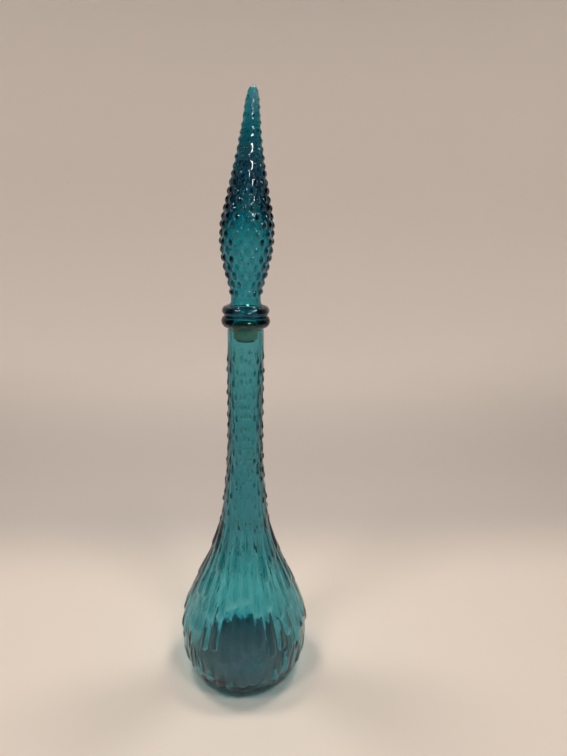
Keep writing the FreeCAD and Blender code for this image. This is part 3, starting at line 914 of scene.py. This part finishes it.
@dataclass
class BlownStopper:
    """The stopper: hollow peg, round collar and a bowed finial in rows of hobnails."""

    side: tuple[Pole, ...] = (
        (16.2, 5.0), (16.2, 6.6), (12.7, 10.6), (13.0, 24.0), (20.3, 45.0), (23.8, 75.4),
        (17.1, 97.3), (11.4, 129.1), (6.3, 159.1), (4.9, 184.0), (0.0, 184.0))
    wall: float = 4.2
    bow: float = 5.2
    collar_thickness: float = 8.0
    collar_roll_radius: float = 17.1
    flare_top: float = 14.0
    flare_lift: float = 0.6
    flare_draw: Pole = (0.8, 0.3)
    peg_radius: float = 8.55
    peg_wall: float = 2.6
    cavity_step: float = 2.4
    collar_hollow: float = 13.0
    hollow_levels: Span = (1.2, 7.4)
    cavity_draw: Pole = (7.8, 92.0)
    cavity_tip: Pole = (3.6, 118.0)
    seat_gap: float = 0.08
    columns: int = 224
    inner_columns: int = 96
    fine_row: float = 0.85
    flare_row: float = 0.8
    collar_row: float = 0.9
    seat_row: float = 1.6
    peg_row: float = 3.0
    peg_end_row: float = 1.4
    inner_row: float = 1.8
    ripple_height: float = 0.3
    ripple_width: float = 14.0
    hobnails_round: int = 14
    hobnail_pitch: float = 7.3
    hobnail_tip_pitch: float = 6.0
    hobnail_low: float = 20.5
    hobnail_high: float = 176.0
    hobnail_half_width: float = 2.7
    hobnail_share: float = 0.4
    hobnail_steepness: float = 0.64
    hobnail_scatter: Span = (0.4, 1.5)
    hobnail_stray: float = 0.2
    hobnail_vary: Span = (0.85, 1.1)
    hobnail_below: float = 1.1
    hobnail_above: float = 1.45
    seed: int = 21

    def outline(self) -> Outline:
        """Draw the half section, from the tip down the outside and up the inside.

        Returns:
            The outline, whose height starts at the collar's underside.
        """
        bore = self.peg_radius - self.peg_wall
        bottom = (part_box("stopper")[0].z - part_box("bottle")[1].z) / MM
        roll, half, top = self.collar_roll_radius, self.collar_thickness / 2, self.collar_thickness
        foot = bore + self.cavity_step
        hollow = [(self.collar_hollow, level) for level in self.hollow_levels]
        inside = [(bore, 0.0), *hollow, (foot, self.side[2][1])]
        inside += [(radius - self.wall, height) for radius, height in self.side[3:6]]
        inside += [self.cavity_draw, self.cavity_tip, (0.0, self.cavity_tip[1])]
        above = [point for point in curve_points(list(self.side)) if point.z > self.flare_top * MM]
        start = (above[0].x / MM, above[0].z / MM)
        draw_in, lift = self.flare_draw
        flare = [start, (self.side[2][0], self.side[2][1] + self.flare_lift),
                 ((start[0] + roll) / 2 - draw_in, top + lift), (roll, top)]
        gap = self.seat_gap
        outline = Outline()
        outline.run(above[::-1], Skin.RAISED, self.fine_row, self.columns)
        outline.run(curve_points(flare), Skin.PLAIN, self.flare_row)
        collar = arc_points((roll, half + gap / 2), half - gap / 2, 90, -90)
        outline.run(collar, Skin.PLAIN, self.collar_row)
        peg = self.peg_radius
        outline.run(line_points((roll, gap), (peg, gap)), Skin.PLAIN, self.seat_row, self.inner_columns)
        outline.run(line_points((peg, gap), (peg, bottom)), Skin.PLAIN, self.peg_row)
        outline.run(line_points((peg, bottom), (bore, bottom)), Skin.PLAIN, self.peg_end_row)
        outline.run(line_points((bore, bottom), inside[0]), Skin.PLAIN, self.peg_row)
        outline.run(curve_points(inside), Skin.BLOWN, self.inner_row)
        return outline

    def hobnail_rows(self) -> list[float]:
        """Space the rows of hobnails, which draw closer together towards the tip.

        Returns:
            The height of each row.
        """
        rows = [self.hobnail_low]
        while rows[-1] < self.hobnail_high:
            share = (rows[-1] - self.hobnail_low) / (self.hobnail_high - self.hobnail_low)
            closing = (self.hobnail_tip_pitch - self.hobnail_pitch) * share
            rows.append(rows[-1] + self.hobnail_pitch + closing)
        return rows

    def hobnails(self, draw: random.Random) -> Iterator[Drop]:
        """Rows of hobnails, each row half a step round from the one below.

        Args:
            draw: the source of chance.

        Yields:
            Each hobnail.
        """
        curve = curve_points(list(self.side))
        step = FULL_TURN / self.hobnails_round
        for row, height in enumerate(self.hobnail_rows()):
            radius = min(curve, key=lambda point: abs(point.z / MM - height)).x / MM
            half_turn = min(self.hobnail_half_width / radius, self.hobnail_share * step)
            half_width = half_turn * radius
            rise = self.hobnail_steepness * half_width
            slim = 1 - half_width / self.hobnail_half_width
            scatter = self.hobnail_scatter[0] + (self.hobnail_scatter[1] - self.hobnail_scatter[0]) * slim
            for column in range(self.hobnails_round):
                stray = draw.uniform(-self.hobnail_stray, self.hobnail_stray) * scatter
                turn = (column + row % 2 / 2 + stray) * step % FULL_TURN
                yield Drop(turn, half_turn, height + draw.uniform(-scatter, scatter),
                           rise * draw.uniform(*self.hobnail_vary), self.hobnail_below * half_width,
                           self.hobnail_above * half_width)

    def seat(self, shell: bmesh.types.BMesh) -> None:
        """Bow the finial towards its tip, and seat the stopper on the mouth.

        Args:
            shell: the stopper, drawn upright from the collar's underside.
        """
        tip = self.side[-1][1] * MM
        for vertex in shell.verts:
            if vertex.co.z > 0:
                vertex.co.x += self.bow * MM * (vertex.co.z / tip) ** 2
        bmesh.ops.translate(shell, vec=(0, 0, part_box("bottle")[1].z), verts=shell.verts[:])

    def build(self, glass: BlownGlass) -> bpy.types.Object:
        """Make the stopper.

        Args:
            glass: its finish.

        Returns:
            The piece.
        """
        shell = self.outline().turned()
        ripple(shell, Skin.BLOWN, self.ripple_height, self.ripple_width)
        relief = Relief(shell)
        for drop in self.hobnails(random.Random(self.seed)):
            relief.add(drop)
        relief.press()
        self.seat(shell)
        return finished("blown_stopper", shell, glass.material(), "stopper", "stopper")


@dataclass
class CorkSleeve:
    """The ground, tapered cork round the stopper's peg."""

    chamfer: float = 0.6
    taper: float = 2.0
    bore_radius: float = 8.6
    top_gap: float = 0.08
    columns: int = 96
    row: float = 1.0

    def build(self, cork: GroundCork) -> bpy.types.Object:
        """Make the sleeve.

        Args:
            cork: its finish.

        Returns:
            The piece.
        """
        low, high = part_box("cork_sleeve")
        bottom, top, outer = low.z / MM, high.z / MM - self.top_gap, high.x / MM
        slim = outer - self.taper
        bevel = (slim - self.chamfer, bottom)
        outline = Outline()
        outline.run(line_points((self.bore_radius, bottom), bevel), Skin.PLAIN, self.row, self.columns)
        outline.run(line_points(bevel, (slim, bottom + self.chamfer)), Skin.PLAIN, self.row)
        outline.run(line_points((slim, bottom + self.chamfer), (outer, top)), Skin.PLAIN, self.row)
        outline.run(line_points((outer, top), (self.bore_radius, top)), Skin.PLAIN, self.row)
        outline.run(line_points((self.bore_radius, top), (self.bore_radius, bottom)), Skin.PLAIN, self.row)
        shell = outline.turned()
        return finished("ground_cork", shell, cork.material(), "cork", "cork_sleeve")


@dataclass(frozen=True)
class Lamp:
    """A soft square lamp that faces the object.

    Its angles are in degrees: the azimuth goes round from the camera's side, positive to the right, and the
    elevation is above the horizon. Its side, and its distance from the object's middle, are in metres.
    """

    name: str
    role: LampRole
    azimuth: float
    elevation: float
    watts: float
    side: float = 0.3
    distance: float = 1.5
    colour: str = "FFFAF4"

    def hang(self) -> None:
        """Put the lamp in the scene, where only the rays that its role names meet it."""
        light = bpy.data.lights.new(self.name, "AREA")
        light.shape = "SQUARE"
        light.size = self.side
        light.energy = self.watts
        light.color = linear(self.colour)[:3]
        turn, up = math.radians(self.azimuth), math.radians(self.elevation)
        middle = (CAD_BOX[0] + CAD_BOX[1]) / 2
        way = Vector((math.sin(turn) * math.cos(up), -math.cos(turn) * math.cos(up), math.sin(up)))
        holder = bpy.data.objects.new(self.name, light)
        holder.visible_diffuse = self.role is not LampRole.GLINT
        holder.visible_transmission = self.role is not LampRole.GLINT
        holder.visible_glossy = self.role is not LampRole.FILL
        holder.location = middle + way * self.distance
        holder.rotation_euler = (-way).to_track_quat("-Z", "Y").to_euler()
        bpy.context.scene.collection.objects.link(holder)


@dataclass
class Studio:
    """The pale paper sweep and the soft lamps, in metres."""

    floor_radius: float = 1.1
    bend_radius: float = 0.5
    bend_steps: int = 16
    wall_height: float = 1.5
    columns: int = 96
    drop: float = 0.0002
    world_colour: str = "B9B2AA"
    world_strength: float = 0.2
    lamps: tuple[Lamp, ...] = (
        Lamp("left_rear_lamp", LampRole.FULL, -117, 70, 9),
        Lamp("right_rear_lamp", LampRole.FULL, 117, 70, 9),
        Lamp("left_front_lamp", LampRole.FILL, -48, 60, 6),
        Lamp("right_front_lamp", LampRole.FILL, 36, 60, 6),
        Lamp("left_glint", LampRole.GLINT, -48, 60, 11),
        Lamp("right_glint", LampRole.GLINT, 36, 60, 11),
        Lamp("centre_glint", LampRole.GLINT, 18, 34, 9, side=0.36),
    )

    def sweep(self, paper: GradedPaper) -> bpy.types.Object:
        """Make the floor that turns up into a wall all round.

        Args:
            paper: its finish.

        Returns:
            The sweep.
        """
        sheet = bmesh.new()
        radius = self.bend_radius / MM
        bend = arc_points((self.floor_radius / MM, radius), radius, -90, 0, self.bend_steps)
        corners = [Vector((0, 0, 0)), *bend, bend[-1] + Vector((0, 0, self.wall_height))]
        line = [sheet.verts.new(corner - Vector((0, 0, self.drop))) for corner in corners]
        edges = [sheet.edges.new(pair) for pair in zip(line, line[1:])]
        bmesh.ops.spin(sheet, geom=line + edges, axis=(0, 0, 1), cent=(0, 0, 0), dvec=(0, 0, 0),
                       angle=FULL_TURN, steps=self.columns, use_merge=True)
        bmesh.ops.remove_doubles(sheet, verts=sheet.verts[:], dist=MERGE_DISTANCE)
        for face in sheet.faces:
            face.smooth = True
        mesh = bpy.data.meshes.new("paper_sweep")
        sheet.to_mesh(mesh)
        sheet.free()
        mesh.materials.append(paper.material())
        piece = bpy.data.objects.new("paper_sweep", mesh)
        bpy.context.scene.collection.objects.link(piece)
        return piece

    def air(self) -> None:
        """Fill the room with a low even light."""
        world = bpy.data.worlds.new("studio_air")
        world.use_nodes = True
        world.node_tree.nodes.clear()
        sky = add_node(world.node_tree, "ShaderNodeBackground", {
            "Color": linear(self.world_colour), "Strength": self.world_strength})
        add_node(world.node_tree, "ShaderNodeOutputWorld", {"Surface": sky.outputs["Background"]})
        bpy.context.scene.world = world

    def build(self, paper: GradedPaper) -> None:
        """Set up the studio.

        Args:
            paper: the sweep's finish.
        """
        self.sweep(paper)
        self.air()
        for lamp in self.lamps:
            lamp.hang()


@dataclass
class PhotoCamera:
    """The camera of the photograph: a wide lens, close to the bottle and looking down on it."""

    focal_pixels: float = 570.0
    frame_width: float = 567.0
    frame_height: float = 756.0
    sensor_mm: float = 36.0
    axis_pixel: float = 243.6
    distance: float = 0.4989
    height: float = 0.4771
    pitch_degrees: float = 17.71
    roll_degrees: float = 1.45

    def build(self) -> bpy.types.Object:
        """Place the camera and make it the scene's.

        Returns:
            The camera.
        """
        lens = bpy.data.cameras.new("photo_camera")
        lens.sensor_width = self.sensor_mm
        lens.lens = self.sensor_mm * self.focal_pixels / self.frame_height
        camera = bpy.data.objects.new("photo_camera", lens)
        yaw = math.atan((self.frame_width / 2 - self.axis_pixel) / self.focal_pixels)
        turn = Matrix.Rotation(-yaw, 4, "Z") @ Matrix.Rotation(math.radians(90 - self.pitch_degrees), 4, "X")
        turn = turn @ Matrix.Rotation(math.radians(self.roll_degrees), 4, "Z")
        camera.matrix_world = Matrix.Translation((0, -self.distance, self.height)) @ turn
        bpy.context.scene.collection.objects.link(camera)
        bpy.context.scene.camera = camera
        return camera


def main() -> None:
    """Build the pieces, the studio and the camera."""
    logging.basicConfig(level=logging.INFO, format="%(name)s: %(message)s")
    # the bottle's glass paints shade on its lowest edge, where it stands on the floor
    BlownBottle().build(BlownGlass("teal_blown_glass", stipple_top_mm=14.0, foot_shade_share=0.75))
    BlownStopper().build(BlownGlass("teal_hobnail_glass", body_colour="00E2EA", density_per_metre=440.0))
    CorkSleeve().build(GroundCork())
    Studio().build(GradedPaper())
    PhotoCamera().build()
    scene = bpy.context.scene
    scene.view_settings.view_transform = "Standard"
    scene.cycles.max_bounces = LIGHT_BOUNCES
    scene.cycles.transmission_bounces = LIGHT_BOUNCES


if __name__ == "__main__":
    main()
